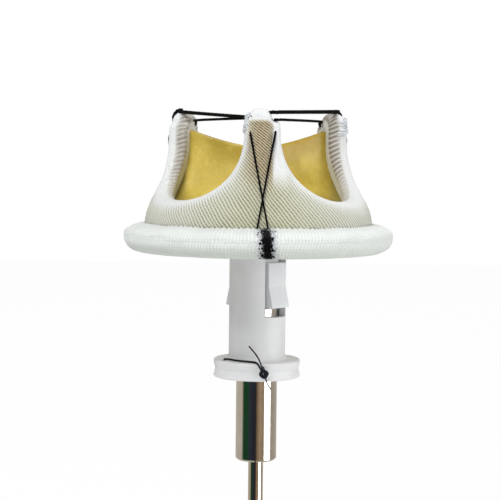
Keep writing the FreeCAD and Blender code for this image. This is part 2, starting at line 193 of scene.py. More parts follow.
def grid_object(name, rows, uv_rows=None, close_rows=False, close_columns=False):
    """An object from rows of points."""
    points = [p for row in rows for p in row]
    layers = {"cloth": [uv for row in uv_rows for uv in row]} if uv_rows else {}
    faces = grid_faces(len(rows), len(rows[0]), close_rows, close_columns)
    return mesh_object(name, points, faces, **layers)


def weld(obj, reach=1e-6):
    """Joins points that lie on each other."""
    work = bmesh.new()
    work.from_mesh(obj.data)
    bmesh.ops.remove_doubles(work, verts=work.verts, dist=reach)
    work.to_mesh(obj.data)
    work.free()
    return obj


def sweep_rows(path, section, closed=False, up=None):
    """Rings of points round a path. section(i, angle) gives the radius at a station and angle."""
    rows = []
    count = len(path)
    normal = up or Vector((0, 0, 1))
    for i, p in enumerate(path):
        before = path[i - 1] if (i or closed) else p
        after = path[(i + 1) % count] if (closed or i + 1 < count) else p
        tangent = (after - before).normalized()
        normal = (normal - tangent * normal.dot(tangent)).normalized()
        side = tangent.cross(normal)
        row = []
        for k in range(SECTION_STEPS):
            angle = math.tau * k / SECTION_STEPS
            r = section(i, angle)
            row.append(p + (normal * math.cos(angle) + side * math.sin(angle)) * r)
        rows.append(row)
    return rows


def strand_object(name, path, radius, twist=0.55, thin=1.0):
    """A braided thread, wound like three plies. thin is its share of width at its end."""
    travelled = 0.0
    along = []
    for i, p in enumerate(path):
        travelled += (p - path[i - 1]).length if i else 0.0
        along.append(travelled)

    def section(i, angle):
        wind = math.cos(3 * angle - along[i] / twist * math.tau)
        return radius * (1 + PLY_DEPTH * wind) * lerp(1.0, thin, along[i] / travelled)

    rows = sweep_rows(path, section, up=Vector((0.13, 0.31, 0.94)))
    rows = [[path[0]] * SECTION_STEPS] + rows + [[path[-1]] * SECTION_STEPS]
    uv_rows = [[(a, k / SECTION_STEPS) for k in range(SECTION_STEPS)] for a in along]
    uv_rows = [uv_rows[0]] + uv_rows + [uv_rows[-1]]
    return weld(grid_object(name, rows, uv_rows, False, True))


def smooth_path(points, step=0.12):
    """Evenly spaced points on a rounded curve through the given points."""
    made = []
    padded = [points[0] * 2 - points[1]] + points + [points[-1] * 2 - points[-2]]
    for a, b, c, d in zip(padded, padded[1:], padded[2:], padded[3:]):
        pieces = max(2, int((c - b).length / step))
        for k in range(pieces):
            t = k / pieces
            made.append(0.5 * (
                2 * b + (c - a) * t + (2 * a - 5 * b + 4 * c - d) * t * t + (3 * b - a - 3 * c + d) * t ** 3
            ))
    return made + [points[-1]]


def join(name, objects):
    """One object from several meshes."""
    with bpy.context.temp_override(active_object=objects[0], selected_editable_objects=objects):
        bpy.ops.object.join()
    objects[0].name = name
    return objects[0]


def crown_point(half_angle, nadir, top, turn, roundness):
    """Azimuth from the cusp's middle and height on one scallop. turn runs from -90 to 90 degrees."""
    power = 2.0 / roundness
    sine, cosine = math.sin(math.radians(turn)), math.cos(math.radians(turn))
    azimuth = math.copysign(half_angle * abs(sine) ** power, turn)
    return azimuth, top - (top - nadir) * abs(cosine) ** power


# materials

def fill_ramp(ramp, stops):
    """Gives a colour ramp its stops, as pairs of place and colour in rising order."""
    first, last = ramp.elements[0], ramp.elements[-1]
    first.position, last.position = stops[0][0], stops[-1][0]
    first.color, last.color = (*stops[0][1], 1.0), (*stops[-1][1], 1.0)
    for place, colour in stops[1:-1]:
        ramp.elements.new(place).color = (*colour, 1.0)


class Graph:
    """Short calls for building the nodes of a material or a world."""

    def __init__(self, name, kind=bpy.data.materials):
        self.material = kind.new(name)
        self.material.use_nodes = True
        self.tree = self.material.node_tree
        self.shader = self.tree.nodes.get("Principled BSDF")

    def node(self, kind, links=None, **values):
        made = self.tree.nodes.new(kind)
        for key, value in values.items():
            setattr(made, key, value)
        for key, value in (links or {}).items():
            self.feed(made.inputs[key], value)
        return made

    def feed(self, socket, value):
        """Links the socket to an output, or sets its value. A colour may come without its alpha."""
        if isinstance(value, bpy.types.NodeSocket):
            self.tree.links.new(value, socket)
        elif isinstance(value, tuple) and len(value) < len(socket.default_value):
            socket.default_value = (*value, 1.0)
        else:
            socket.default_value = value

    def math(self, operation, a, b=0.0, c=0.0):
        return self.node("ShaderNodeMath", {0: a, 1: b, 2: c}, operation=operation).outputs[0]

    def times(self, a, b, plus=None):
        """a times b, with plus added where it is given."""
        if plus is None:
            return self.math("MULTIPLY", a, b)
        return self.math("MULTIPLY_ADD", a, b, plus)

    def rest(self, value):
        """What is left up to 1."""
        return self.math("SUBTRACT", 1.0, value)

    def wave(self, turns):
        """A sine from 0 to 1, with one period for each unit of turns."""
        sine = self.math("SINE", self.times(turns, math.tau))
        return self.times(sine, 0.5, 0.5)

    def scaled(self, vector, by):
        return self.node("ShaderNodeVectorMath", {0: vector, 1: by}, operation="MULTIPLY").outputs[0]

    def mottled(self, patches, colour, dark):
        """The colour, darkened in patches."""
        return self.ramp(patches, [(0.3, tuple(c * dark for c in colour)), (0.7, colour)])

    def position(self):
        """Object coordinates in millimetres."""
        raw = self.node("ShaderNodeTexCoord").outputs["Object"]
        return self.scaled(raw, (1 / MM,) * 3)

    def split(self, vector):
        return self.node("ShaderNodeSeparateXYZ", {0: vector}).outputs

    def layer(self, name="cloth"):
        """One of the pairs of numbers that the mesh carries."""
        return self.node("ShaderNodeUVMap", uv_map=name).outputs[0]

    def noise(self, vector, scale, detail=3.0, roughness=0.5):
        made = self.node("ShaderNodeTexNoise", {
            "Vector": vector, "Scale": scale, "Detail": detail, "Roughness": roughness,
        })
        return made.outputs["Fac"]

    def steps(self, value, low, high):
        """A smooth step of the value between two levels."""
        made = self.node("ShaderNodeMapRange", {0: value, 1: low, 2: high}, interpolation_type="SMOOTHSTEP")
        return made.outputs[0]

    def ramp(self, value, stops):
        made = self.node("ShaderNodeValToRGB", {0: value})
        fill_ramp(made.color_ramp, stops)
        return made.outputs[0]

    def mix(self, factor, a, b):
        return self.node("ShaderNodeMix", {0: factor, 6: a, 7: b}, data_type="RGBA").outputs[2]

    def mix_shader(self, factor, a, b):
        return self.node("ShaderNodeMixShader", {0: factor, 1: a.outputs[0], 2: b.outputs[0]})

    def bump(self, height, distance):
        """Surface relief, with the height's full range given in millimetres."""
        made = self.node("ShaderNodeBump", {"Height": height, "Distance": distance * MM})
        self.tree.links.new(made.outputs[0], self.shader.inputs["Normal"])

    def set(self, **values):
        for key, value in values.items():
            self.feed(self.shader.inputs[key.replace("_", " ")], value)


COOL_WHITE = (0.72, 0.735, 0.735)
CREAM = (0.53, 0.52, 0.385)
TAN = (0.50, 0.415, 0.265)
GREY_OLIVE = (0.19, 0.19, 0.125)
BROWN = (0.055, 0.042, 0.025)
ROLL_SHADE_MAUVE = (0.27, 0.235, 0.20)


def crown_material():
    """Twill of the crown, from its layers: how dark and warm the ribs are, and where the roll lies, which
    gets painted shade between its stitches.
    """
    g = Graph("crown_twill")
    across, along, _ = g.split(g.layer("weave"))
    contrast, warmth, _ = g.split(g.layer("tone"))
    roll, roll_turns, _ = g.split(g.layer("edge"))
    beige, yarn_turns, _ = g.split(g.layer("hem"))
    wander = g.noise(g.position(), 0.55, 2.0)
    turns = g.times(g.math("SUBTRACT", wander, 0.5), 0.9, across)
    rib = g.wave(turns)
    yarn = g.wave(yarn_turns)
    fibre = g.noise(g.position(), 7.0, 3.0)
    patches = g.noise(g.position(), 0.45, 3.0)
    line = g.rest(g.steps(rib, 0.15, 0.75))
    broken = g.times(g.times(yarn, fibre), 0.7, 0.62)
    depth = g.times(g.times(line, broken), contrast)
    depth = g.times(depth, g.times(patches, 0.7, 0.65))
    ground = g.mix(beige, COOL_WHITE, CREAM)
    ground = g.mix(warmth, ground, TAN)
    lines = g.mix(warmth, GREY_OLIVE, BROWN)
    cloth = g.mix(depth, ground, lines)
    # Painted shade: the roll's face is darkened towards mauve between its stitches, as strongly as its layer
    # says.
    stitch = g.wave(roll_turns)
    painted_roll_shade = g.times(roll, g.times(g.rest(stitch), 0.8, 0.3))
    painted_roll_shade = g.times(painted_roll_shade, g.times(patches, 1.2, 0.45))
    g.set(Base_Color=g.mix(painted_roll_shade, cloth, ROLL_SHADE_MAUVE), Roughness=0.85, Sheen_Weight=0.15, Specular_IOR_Level=0.2)
    relief = g.times(rib, g.times(contrast, 0.8, 0.2))
    relief = g.times(g.times(fibre, yarn), 0.35, relief)
    g.bump(relief, 0.06)
    return g.material


def lining_material():
    """Plain weave of the orifice's lining."""
    g = Graph("lining_weave")
    u, v, _ = g.split(g.layer())
    warp = g.wave(g.times(u, 3.0))
    weft = g.wave(g.times(v, 3.0))
    check = g.times(warp, 0.5, g.times(weft, 0.5))
    cloth = g.mix(check, (0.52, 0.50, 0.43), (0.72, 0.71, 0.66))
    g.set(Base_Color=cloth, Roughness=0.9, Specular_IOR_Level=0.2)
    g.bump(check, 0.04)
    return g.material


def knit_material():
    """White knitted cloth of the sewing ring, stained black along the guide marks, with painted shade in its
    rib valleys and on its underside.
    """
    g = Graph("ring_knit")
    u, v, _ = g.split(g.layer())
    aside, down, _ = g.split(g.layer("mark"))
    rib = g.wave(u)
    loops = g.wave(g.math("ADD", g.times(v, 2.6), g.times(rib, 0.35)))
    fuzz = g.noise(g.position(), 5.0, 4.0)
    cloud = g.noise(g.position(), 0.25, 3.0)
    height = g.times(loops, 0.5, g.times(fuzz, 0.9, rib))
    # Painted shade: the rib valleys are darkened to greenish grey.
    valley = g.times(g.rest(rib), 0.6)
    white = g.mix(valley, (0.76, 0.785, 0.77), (0.55, 0.585, 0.55))
    white = g.mix(g.times(cloud, 0.35), white, (0.70, 0.745, 0.72))
    # Painted shade: the ring is darkened to greenish grey towards its underside, below a height of 1.9 mm.
    under = g.rest(g.steps(g.split(g.position())[2], 0.3, 1.9))
    white = g.mix(g.times(under, 0.75), white, (0.56, 0.60, 0.545))
    grain = g.node("ShaderNodeTexVoronoi", {"Vector": g.position(), "Scale": 4.5}).outputs["Distance"]
    speck = g.times(g.noise(g.position(), 3.0, 3.0), 0.7, g.times(grain, 0.6))
    far = g.math("ABSOLUTE", g.times(down, -0.5, g.math("SUBTRACT", aside, 0.25)))
    stain = g.rest(g.steps(g.math("ADD", far, speck), 1.05, 1.4))
    halo = g.rest(g.steps(g.times(speck, 1.7, far), 1.9, 2.75))
    inked = g.mix(g.times(halo, 0.5), white, (0.17, 0.175, 0.23))
    g.set(Base_Color=g.mix(stain, inked, (0.006, 0.006, 0.01)), Roughness=0.9, Sheen_Weight=0.2)
    g.set(Specular_IOR_Level=0.2)
    g.bump(height, 0.05)
    return g.material


def tissue_material(name, tone):
    """Glossy ochre tissue with faint mottling and a painted shadow along its seam and sides. tone runs from
    0, pale, to 1, deep, and paints light and shade on each leaflet.
    """
    g = Graph(name)
    mottle = g.noise(g.position(), 0.3, 4.0)
    fine = g.noise(g.position(), 1.6, 5.0, 0.6)

    def toned(pale_end, deep_end):
        return tuple(lerp(a, b, tone) for a, b in zip(pale_end, deep_end))

    pale = toned((0.72, 0.565, 0.135), (0.53, 0.385, 0.05))
    deep = toned((0.60, 0.455, 0.085), (0.37, 0.26, 0.022))
    base = g.mix(g.steps(mottle, 0.35, 0.68), deep, pale)
    light = toned((0.76, 0.64, 0.24), (0.62, 0.50, 0.13))
    base = g.mix(g.times(g.steps(fine, 0.45, 0.8), 0.3), base, light)
    aside, rise, _ = g.split(g.layer())
    top = g.times(g.steps(rise, 7.5, 11.8), lerp(0.25, 0.75, tone))
    base = g.mix(top, base, (0.40, 0.25, 0.012))
    # Painted shadow: the tissue is darkened to dark olive along its seam and its sides at the posts.
    seam = g.rest(g.steps(rise, 0.2, 2.2))
    side = g.steps(g.math("ABSOLUTE", aside), 8.9, 9.9)
    edge = g.times(g.math("MAXIMUM", seam, side), 0.8)
    g.set(Base_Color=g.mix(edge, base, (0.15, 0.12, 0.02)), Roughness=0.34, Specular_IOR_Level=0.3)
    g.set(Coat_Weight=0.12, Coat_Roughness=0.16)
    g.set(Subsurface_Weight=0.08, Subsurface_Radius=(1.0, 0.6, 0.2), Subsurface_Scale=0.0006)
    g.bump(g.times(fine, 0.5, mottle), 0.22)
    return g.material


def thread_material(name, colour, highlight):
    """Braided suture with fine fibres."""
    g = Graph(name)
    fibre = g.noise(g.position(), 14.0, 4.0)
    colours = g.ramp(fibre, [(0.35, colour), (0.75, highlight)])
    g.set(Base_Color=colours, Roughness=0.85, Specular_IOR_Level=0.08)
    g.bump(fibre, 0.03)
    return g.material


def plastic_material(name, colour, roughness=0.42):
    """Machined white plastic with faint turning marks."""
    g = Graph(name)
    position = g.position()
    marks = g.noise(g.scaled(position, (0.4, 0.4, 9.0)), 1.2, 3.0)
    cloud = g.noise(position, 0.3, 3.0)
    g.set(Base_Color=g.mottled(cloud, colour, 0.93), Roughness=roughness, Specular_IOR_Level=0.4)
    g.set(Subsurface_Weight=0.1, Subsurface_Radius=(1.0, 1.0, 1.0), Subsurface_Scale=0.0006)
    g.bump(marks, 0.006)
    return g.material


def steel_material(name, colour, roughness):
    """Polished steel with hairline turning marks."""
    g = Graph(name)
    position = g.position()
    marks = g.noise(g.scaled(position, (0.5, 0.5, 24.0)), 1.0, 4.0)
    smear = g.noise(position, 0.5, 3.0)
    g.set(Base_Color=g.mottled(smear, colour, 0.85), Metallic=1.0)
    rough = g.node("ShaderNodeMapRange", {0: marks, 3: roughness * 0.8, 4: roughness * 1.3}).outputs[0]
    g.set(Roughness=rough)
    g.bump(marks, 0.002)
    return g.material


def plain_material(name, colour, roughness, metallic=0.0):
    """Finish of an inner piece, with a light mottle."""
    g = Graph(name)
    cloud = g.noise(g.position(), 1.2, 3.0)
    g.set(Base_Color=g.mottled(cloud, colour, 0.88), Roughness=roughness, Metallic=metallic)
    return g.material


MATERIALS = {
    "crown": crown_material(),
    "lining": lining_material(),
    "knit": knit_material(),
    # The leaflets share one tissue; their tones paint light and shade: the front-left paler as if lit, the
    # front-right deeper as if shaded.
    "tissue_front_left": tissue_material("tissue_front_left", 0.15),
    "tissue_front_right": tissue_material("tissue_front_right", 0.75),
    "tissue_rear": tissue_material("tissue_rear", 0.45),
    "black": thread_material("black_suture", (0.0015, 0.0015, 0.002), (0.005, 0.005, 0.006)),
    "dark": thread_material("dark_suture", (0.006, 0.007, 0.010), (0.03, 0.034, 0.045)),
    "white_thread": thread_material("white_thread", (0.50, 0.53, 0.55), (0.74, 0.76, 0.77)),
    "white": plastic_material("holder_white", (0.76, 0.765, 0.775)),
    "blue_white": plastic_material("plunger_white", (0.77, 0.79, 0.815), 0.35),
    "steel": steel_material("adapter_steel", (0.80, 0.78, 0.76), 0.13),
    "rod": steel_material("rod_steel", (0.72, 0.66, 0.58), 0.16),
    "inner_metal": plain_material("stent_metal", (0.55, 0.55, 0.53), 0.35, 1.0),
    "silicone": plain_material("silicone", (0.78, 0.78, 0.74), 0.5),
}


def dress(obj, material, slot, body, *nodes):
    """Gives a piece its material and its body, if it rides on one, and hides the nodes it stands for. slot is
    not used.
    """
    obj.data.materials.clear()
    obj.data.materials.append(MATERIALS[material])
    if body:
        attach(obj, body)
    if nodes:
        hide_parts(*nodes)
    return obj


# sewing ring

def ring_section():
    """Outline of the sewing ring as (radius, height), from its top round the nose to its inner side."""
    corner = 0.35
    points = []
    for k in range(45):
        t = math.radians(90 - 180 * k / 44)
        c, s = max(math.cos(t), 0.0), math.sin(t)
        high = (ring_height - nose_height) if s > 0 else nose_height
        points.append((ring_middle + (ring_radius - ring_middle) * c ** 0.9,
                       nose_height + high * math.copysign(abs(s) ** 0.95, s)))
    for k in range(1, 7):
        points.append((lerp(ring_middle, ring_inside + corner, k / 6), 0.0))
    for k in range(1, 5):
        t = math.radians(90 * k / 4)
        points.append((ring_inside + corner * (1 - math.sin(t)), corner * (1 - math.cos(t))))
    for k in range(1, 8):
        points.append((ring_inside, lerp(corner, ring_height - corner, k / 7)))
    for k in range(1, 5):
        t = math.radians(90 * k / 4)
        points.append((ring_inside + corner * (1 - math.cos(t)), ring_height - corner * (1 - math.sin(t))))
    for k in range(1, 8):
        points.append((lerp(ring_inside + corner, ring_middle, k / 8), ring_height))
    return points


def make_ring():
    """Padded sewing ring, a little uneven, with two tiers of knitted ribs and a looped hem."""
    section = ring_section()
    columns = ring_ribs * 6
    rows, cloth, mark = [], [], []
    run = 0.0
    for k, (r, z) in enumerate(section):
        run += math.dist((r, z), section[k - 1]) if k else 0.0
        outer = smooth((r - 14.6) / 1.0)
        top = bell(r - foot_radius - 0.28, 0.17) if z > nose_height else 0.0
        tier = 0.5 * smooth((nose_height - 0.2 - z) / 0.3)
        valley = 0.05 * bell(z - nose_height + 0.35, 0.22) * outer
        row = []
        for j in range(columns):
            azimuth = 360 * j / columns
            spot = polar(5.0, azimuth, z * 0.4)
            drift = 0.35 * noise.noise(spot * 1.9) + 0.12 * noise.noise(spot * 9.0)
            phase = math.tau * (ring_ribs * j / columns + tier + drift)
            rib = 0.028 * (1 + 0.9 * noise.noise(spot * 3.3)) * math.sin(phase) * outer
            soft = 0.2 * noise.noise(spot) + 0.06 * noise.noise(spot * 2.7)
            loop = top * (0.13 + 0.07 * math.sin(phase * 0.5) + 0.05 * noise.noise(spot * 1.5))
            radius = r + (rib + soft * outer - valley) * outer
            lift = (0.4 * rib if z > 0.1 else 0.0) + loop + (0.5 * soft * outer if z > nose_height else 0.0)
            row.append(polar(min(radius, ring_radius), azimuth, z + lift))
            cloth.append((ring_ribs * j / columns + tier + drift, run))
            from_post = (azimuth - 30.0 + 60.0) % 120.0 - 60.0
            inked = 1.0 if z > 0.02 else 4.0
            mark.append((math.radians(from_post) * r * inked, run / 7.0))
        rows.append(row)
    points = [p for row in rows for p in row]
    faces = grid_faces(len(rows), columns, True, True)
    ring = mesh_object("sewing_ring", points, faces, cloth=cloth, mark=mark)
    dress(ring, "knit", "ring_cloth", "valve", "ring_cover")


def make_guide_marks():
    """Black guide stitches over the ring's rim, as rows of small knitted loops."""
    section = ring_section()[6:40]
    points, faces = [], []
    for azimuth in POSTS.values():
        for _ in range(260):
            t = random.random() * (len(section) - 2)
            k = int(t)
            near, far = Vector(section[k]), Vector(section[k + 1])
            place = near.lerp(far, t - k)
            down = (far - near).normalized()
            out = Vector((-down.y, down.x))
            if out.x < -0.3:
                continue
            aside = 0.25 + 0.4 * (t / len(section)) + random.gauss(0, 0.4)
            turn = azimuth + math.degrees(aside / place.x)
            radial, along = polar(1.0, turn), polar(1.0, turn + 90)
            normal = radial * out.x + Vector((0, 0, out.y))
            slope = radial * down.x + Vector((0, 0, down.y))
            centre = radial * min(place.x, ring_radius - 0.05) + Vector((0, 0, place.y)) + normal * 0.01
            tilt = random.choice((-0.5, 0.5)) + random.uniform(-0.2, 0.2)
            long_axis = (slope * math.cos(tilt) + along * math.sin(tilt)) * random.uniform(0.12, 0.2)
            wide_axis = (along * math.cos(tilt) - slope * math.sin(tilt)) * random.uniform(0.07, 0.1)
            first = len(points)
            for level, height in ((1.0, -0.02), (0.8, 0.05), (0.35, 0.075)):
                for q in range(8):
                    a = math.tau * q / 8
                    rim = long_axis * (level * math.cos(a)) + wide_axis * (level * math.sin(a))
                    points.append(centre + rim + normal * height)
            for ring in range(2):
                for q in range(8):
                    a, b = first + ring * 8 + q, first + ring * 8 + (q + 1) % 8
                    faces.append((a, b, b + 8, a + 8))
            faces.append(tuple(first + 16 + q for q in range(8)))
            faces.append(tuple(first + 7 - q for q in range(8)))
    marks = mesh_object("guide_stitches", points, faces)
    dress(marks, "black", "marker_thread", "valve", "ring_markers")


# cloth crown

def skirt_radius(z):
    """Outer radius of the skirt, which flares out towards its foot on the ring."""
    t = min(max((z - foot_height) / flare_height, 0.0), 1.0)
    return crown_radius + (foot_radius - crown_radius) * (1 - t) ** 3 * (1 + 3 * t)


def curve_through(points, step):
    """Evenly spaced points on a rounded curve through pairs of numbers."""
    fine = smooth_path([Vector((u, z, 0)) for u, z in points], 0.02)
    runs = [0.0]
    for a, b in zip(fine, fine[1:]):
        runs.append(runs[-1] + (b - a).length)
    count = round(runs[-1] / step)
    places = np.linspace(0, runs[-1], count + 1)
    return np.stack([np.interp(places, runs, [p[axis] for p in fine]) for axis in (0, 1)], 1)


def crown_edge():
    """The cloth's top edge across one cusp, unrolled, with its inward normals and its length so far."""
    right_side = [(0.0, 18.78), (0.45, 18.68), (0.85, 18.42), (1.15, 18.02), (1.32, 17.6), (1.46, 17.36),
                  (1.7, 17.3), (2.0, 17.26), (2.27, 17.02), (2.43, 16.7)]
    left_side = [(2.46, 16.8), (2.36, 17.25), (2.12, 17.8), (1.72, 18.28), (1.2, 18.62), (0.6, 18.79),
                 (0.0, 18.78)]
    half_angle = math.degrees((sector_half - post_half_width) / crown_radius)
    scallop = []
    for turn in range(-90, 91, 6):
        a, z = crown_point(half_angle, window_nadir, scallop_top, turn, edge_power)
        scallop.append((crown_radius * math.radians(a), z))
    points = [(x - sector_half, z) for x, z in right_side] + scallop
    points += [(sector_half - x, z) for x, z in left_side]
    edge = curve_through(points, edge_step)
    around = np.concatenate([edge[-2:-1] - [2 * sector_half, 0], edge, edge[1:2] + [2 * sector_half, 0]])
    tangent = around[2:] - around[:-2]
    tangent /= np.linalg.norm(tangent, axis=1)[:, None]
    inward = np.stack([tangent[:, 1], -tangent[:, 0]], 1)
    length = np.concatenate([[0], np.cumsum(np.linalg.norm(edge[1:] - edge[:-1], axis=1))])
    return edge, inward, length


def sector_net(edge, inward, length, foot):
    """Triangles over one third of the unrolled cloth, from its foot to its edge, denser near the edge."""
    shift = np.array([2 * sector_half, 0])
    stations = np.concatenate([edge, edge - shift, edge + shift])
    normals = np.concatenate([inward] * 3)
    marks = np.concatenate([length, length - length[-1], length + length[-1]])
    near = np.abs(stations[:, 0]) < sector_half + 3.5
    stations, normals, marks = stations[near], normals[near], marks[near]

    def nearest(points):
        gaps = np.linalg.norm(points[:, None, :] - stations[None, :, :], axis=2)
        best = np.argmin(gaps, axis=1)
        return gaps[np.arange(len(points)), best], best

    wide = round(2 * sector_half / net_step)
    across = np.linspace(-sector_half, sector_half, wide + 1)
    tall = round((edge[0][1] - foot) / net_step)
    up = np.linspace(foot, edge[0][1], tall + 1)
    outline = [(-sector_half, z) for z in up[:-1]] + [tuple(p) for p in edge]
    outline += [(sector_half, z) for z in up[-2::-1]] + [(u, foot) for u in across[-2:0:-1]]
    inner = []
    for reach in (0.02, 0.075, 0.16, 0.27, 0.4, 0.55, 0.71, 0.88, 1.06, 1.25):
        spots = edge[1:-1] + inward[1:-1] * reach
        gap, _ = nearest(spots)
        inner.append(spots[gap > reach * 0.985])
    columns = np.arange(-sector_half + net_step, sector_half - net_step / 2, net_step)
    levels = np.arange(foot + net_step * 0.8, tip_height, net_step * 0.87)
    grid = np.array([
        (u + (0.5 * net_step if k % 2 else 0.0), z) for k, z in enumerate(levels) for u in columns
    ])
    half_angle = (sector_half - post_half_width) / crown_radius
    share = np.clip(np.abs(grid[:, 0]) / crown_radius / half_angle, 0, 1)
    drop = (1 - share ** edge_power) ** (1 / edge_power)
    floor = scallop_top - (scallop_top - window_nadir) * drop
    grid = grid[(grid[:, 1] < floor) | (share >= 1)]
    gap, best = nearest(grid)
    behind = ((grid - stations[best]) * normals[best]).sum(1) > 0
    grid = grid[(gap > 1.36) & behind]
    inner.append(grid)
    inner = np.concatenate(inner)
    keep = (np.abs(inner[:, 0]) < sector_half - 0.06) & (inner[:, 1] > foot + 0.06)
    inner = inner[keep]
    points = np.concatenate([np.array(outline), inner])
    made = delaunay_2d_cdt([Vector(p) for p in points], [], [list(range(len(outline)))], 1, 1e-6)
    spots = np.array([tuple(v) for v in made[0]])
    gap, best = nearest(spots)
    return spots, made[2], gap, normals[best], marks[best]


def twill_lean():
    """Table of how far the ribs have leant over at a height, which grows faster near the post tips."""
    heights = np.linspace(0, 20, 401)
    lean = 0.68 + 0.52 * np.clip((heights - 8.5) / 6, 0, 1)
    pitch = math.tau * crown_radius / twill_ribs
    return heights, np.cumsum(lean) * (heights[1] - heights[0]) / pitch


def hem_wave(azimuth):
    """How far the skirt's foot goes up and down round the ring."""
    return 0.05 * math.sin(math.radians(azimuth) * 27) + 0.1 * noise.noise(polar(9.0, azimuth))


def cloth_sway(azimuth, z):
    """Soft unevenness of the skirt."""
    wide = noise.noise(polar(6.0, azimuth, z * 0.6))
    fine = noise.noise(polar(25.0, azimuth, z * 2))
    return 0.05 * wide + 0.02 * fine


def make_crown():
    """The twill crown: flared skirt, posts and scalloped edge, folded over the wire to the inside."""
    edge, inward, length = crown_edge()
    heights, leans = twill_lean()
    stitches = round(length[-1] / stitch_pitch)
    points, faces = [], []
    weave, tone, roll, hem = [], [], [], []

    def add(spot, azimuth, z, tones, rolls, beige):
        points.append(spot)
        ribs = twill_ribs * azimuth / 360 + float(np.interp(z, heights, leans))
        weave.append((ribs, z))
        tone.append(tones)
        roll.append(rolls)
        hem.append((beige, ribs * 0.35 + z * 2.2))

    for outer in (True, False):
        foot = foot_height if outer else inside_low
        spots, triangles, gaps, normals, marks = sector_net(edge, inward, length, foot)
        for base in CUSPS.values():
            first = len(points)
            for (u, z), gap, normal, mark in zip(spots, gaps, normals, marks):
                azimuth = base + math.degrees(u / crown_radius)
                raised = smooth((z - 7.0) / 7.0)
                crest = crest_radius - crest_draw * raised
                from_post = abs(u) - sector_half
                side = sector_half + u if u < 0 else u - sector_half
                turns = mark / length[-1] * stitches
                if outer:
                    full = skirt_radius(z)
                    reach = roll_reach + foot_reach * (full - crown_radius)
                    up_post = smooth((z - strip_foot) / 3.0)
                    below_dome = 1 - smooth((z - dome_foot) / 0.6)
                    t = min(gap / reach, 1.0)
                    swell = 0.07 * bell(gap - 0.5, 0.3) - 0.05 * bell(gap - 1.2, 0.2)
                    strip = smooth((side - strip_side) / 0.25) * up_post if side > 0 else 0.0
                    strip *= 1 - smooth((side - 2.6) / 1.2)
                    swell -= groove_depth * bell(side - groove_side, 0.16) * up_post
                    swell += cloth_sway(azimuth, z) * smooth(gap / 0.6)
                    bend = math.sqrt(1 - (1 - t) ** 2)
                    radius = lerp(crest, full, bend) + swell * bend
                    post = bell(from_post, lerp(8.5, 3.2, smooth((z - 4.5) / 5.0)))
                    contrast = lerp(0.55, 1.0, post) * lerp(0.3, 1.0, smooth((gap - 0.25) / 0.9))
                    contrast *= (1 - 0.92 * strip) * below_dome
                    warmth = bell(from_post, 2.2) * smooth((z - 7.5) / 4.0) * smooth((gap - 0.3) / 0.5)
                    warmth *= (1 - strip) * below_dome
                    beige = lerp(0.45, 1.0, post) * smooth((gap - 0.2) / 1.5) * (1 - strip)
                    beige *= below_dome
                    z_made = z + hem_wave(azimuth) * smooth((foot_height + 0.9 - z) / 0.9)
                    rolls = (0.0, turns)
                else:
                    inside = inside_radius - inside_draw * raised
                    t = min(gap / fold_depth, 1.0)
                    bend = math.sqrt(1 - (1 - t) ** 2)
                    band = smooth(bend / 0.35) * (1 - smooth((gap - 0.75) / 0.5))
                    slant = turns + 0.9 * bend
                    ply = 0.055 * math.cos(math.tau * slant) * smooth(bend / 0.25)
                    ply *= 1 - smooth((gap - 0.8) / 0.4)
                    radius = lerp(crest, inside, bend) - ply * bend
                    shift = -ply * (1 - bend)
                    z_made = z + float(normal[1]) * shift
                    azimuth += math.degrees(float(normal[0]) * shift / crown_radius)
                    contrast, warmth, beige = 0.22, 0.0, 0.2
                    # The first number sets how much painted shade falls between the roll's stitches, more of
                    # it higher up.
                    rolls = (band * lerp(0.35, 1.0, smooth((z - 8.0) / 5.0)), slant)
                add(polar(radius, azimuth, z_made), azimuth, z, (contrast, warmth), rolls, beige)
            order = 1 if outer else -1
            faces += [tuple(first + i for i in triangle[::order]) for triangle in triangles]
    wide = round(2 * sector_half / net_step)
    spans = np.linspace(-sector_half, sector_half, wide + 1)
    for base in CUSPS.values():
        first = len(points)
        for u in spans:
            azimuth = base + math.degrees(u / crown_radius)
            wave, sway = hem_wave(azimuth), cloth_sway(azimuth, foot_height)
            row = [
                (foot_radius + sway, foot_height + wave), (foot_radius - 0.25, foot_height + wave - 0.12),
                (crown_radius, foot_height), (crown_radius, wall_bottom), (band_radius, wall_bottom),
                (band_radius, inside_low), (inside_radius, inside_low),
            ]
            for r, z in row:
                add(polar(r, azimuth, z), azimuth, z, (0.3, 0.0), (0.0, 0.0), 0.8)
        for i in range(wide):
            for k in range(6):
                a, b = first + i * 7 + k, first + (i + 1) * 7 + k
                faces.append((a, a + 1, b + 1, b))
    crown = mesh_object("cloth_crown", points, faces, weave=weave, tone=tone, edge=roll, hem=hem)
    weld(crown, 2e-6)
    dress(crown, "crown", "skirt_twill", "valve", "skirt_cloth", "wireform_cover")


def make_lining():
    """Woven lining of the orifice."""
    columns = 240
    turns = [360 * j / columns for j in range(columns)]
    outline = [(lining_inside, wall_bottom), (lining_inside, lining_top)]
    outline += [(lining_outside, lining_top), (lining_outside, wall_bottom)]
    rows = [[polar(r, turn, z) for turn in turns] for r, z in outline]
    uv_rows = [[(math.radians(turn) * lining_inside, z) for turn in turns] for r, z in outline]
    lining = grid_object("lining", rows, uv_rows, True, True)
    dress(lining, "lining", "lining_cloth", "valve", "stent_lining")


def make_wire():
    """Wire under the crown's edge, bent to its line."""
    edge, inward, _ = crown_edge()
    path = []
    for base in CUSPS.values():
        for (u, z), (across, up) in list(zip(edge, inward))[:-1:2]:
            turn = base + math.degrees((u + wire_inset * across) / crown_radius)
            path.append(polar(wire_track, turn, z + wire_inset * up))
    rows = sweep_rows(path, lambda i, angle: wire_radius, True)
    wire = grid_object("edge_wire", rows, None, True, True)
    dress(wire, "inner_metal", "wire_metal", "valve", "wireform")


# leaflets

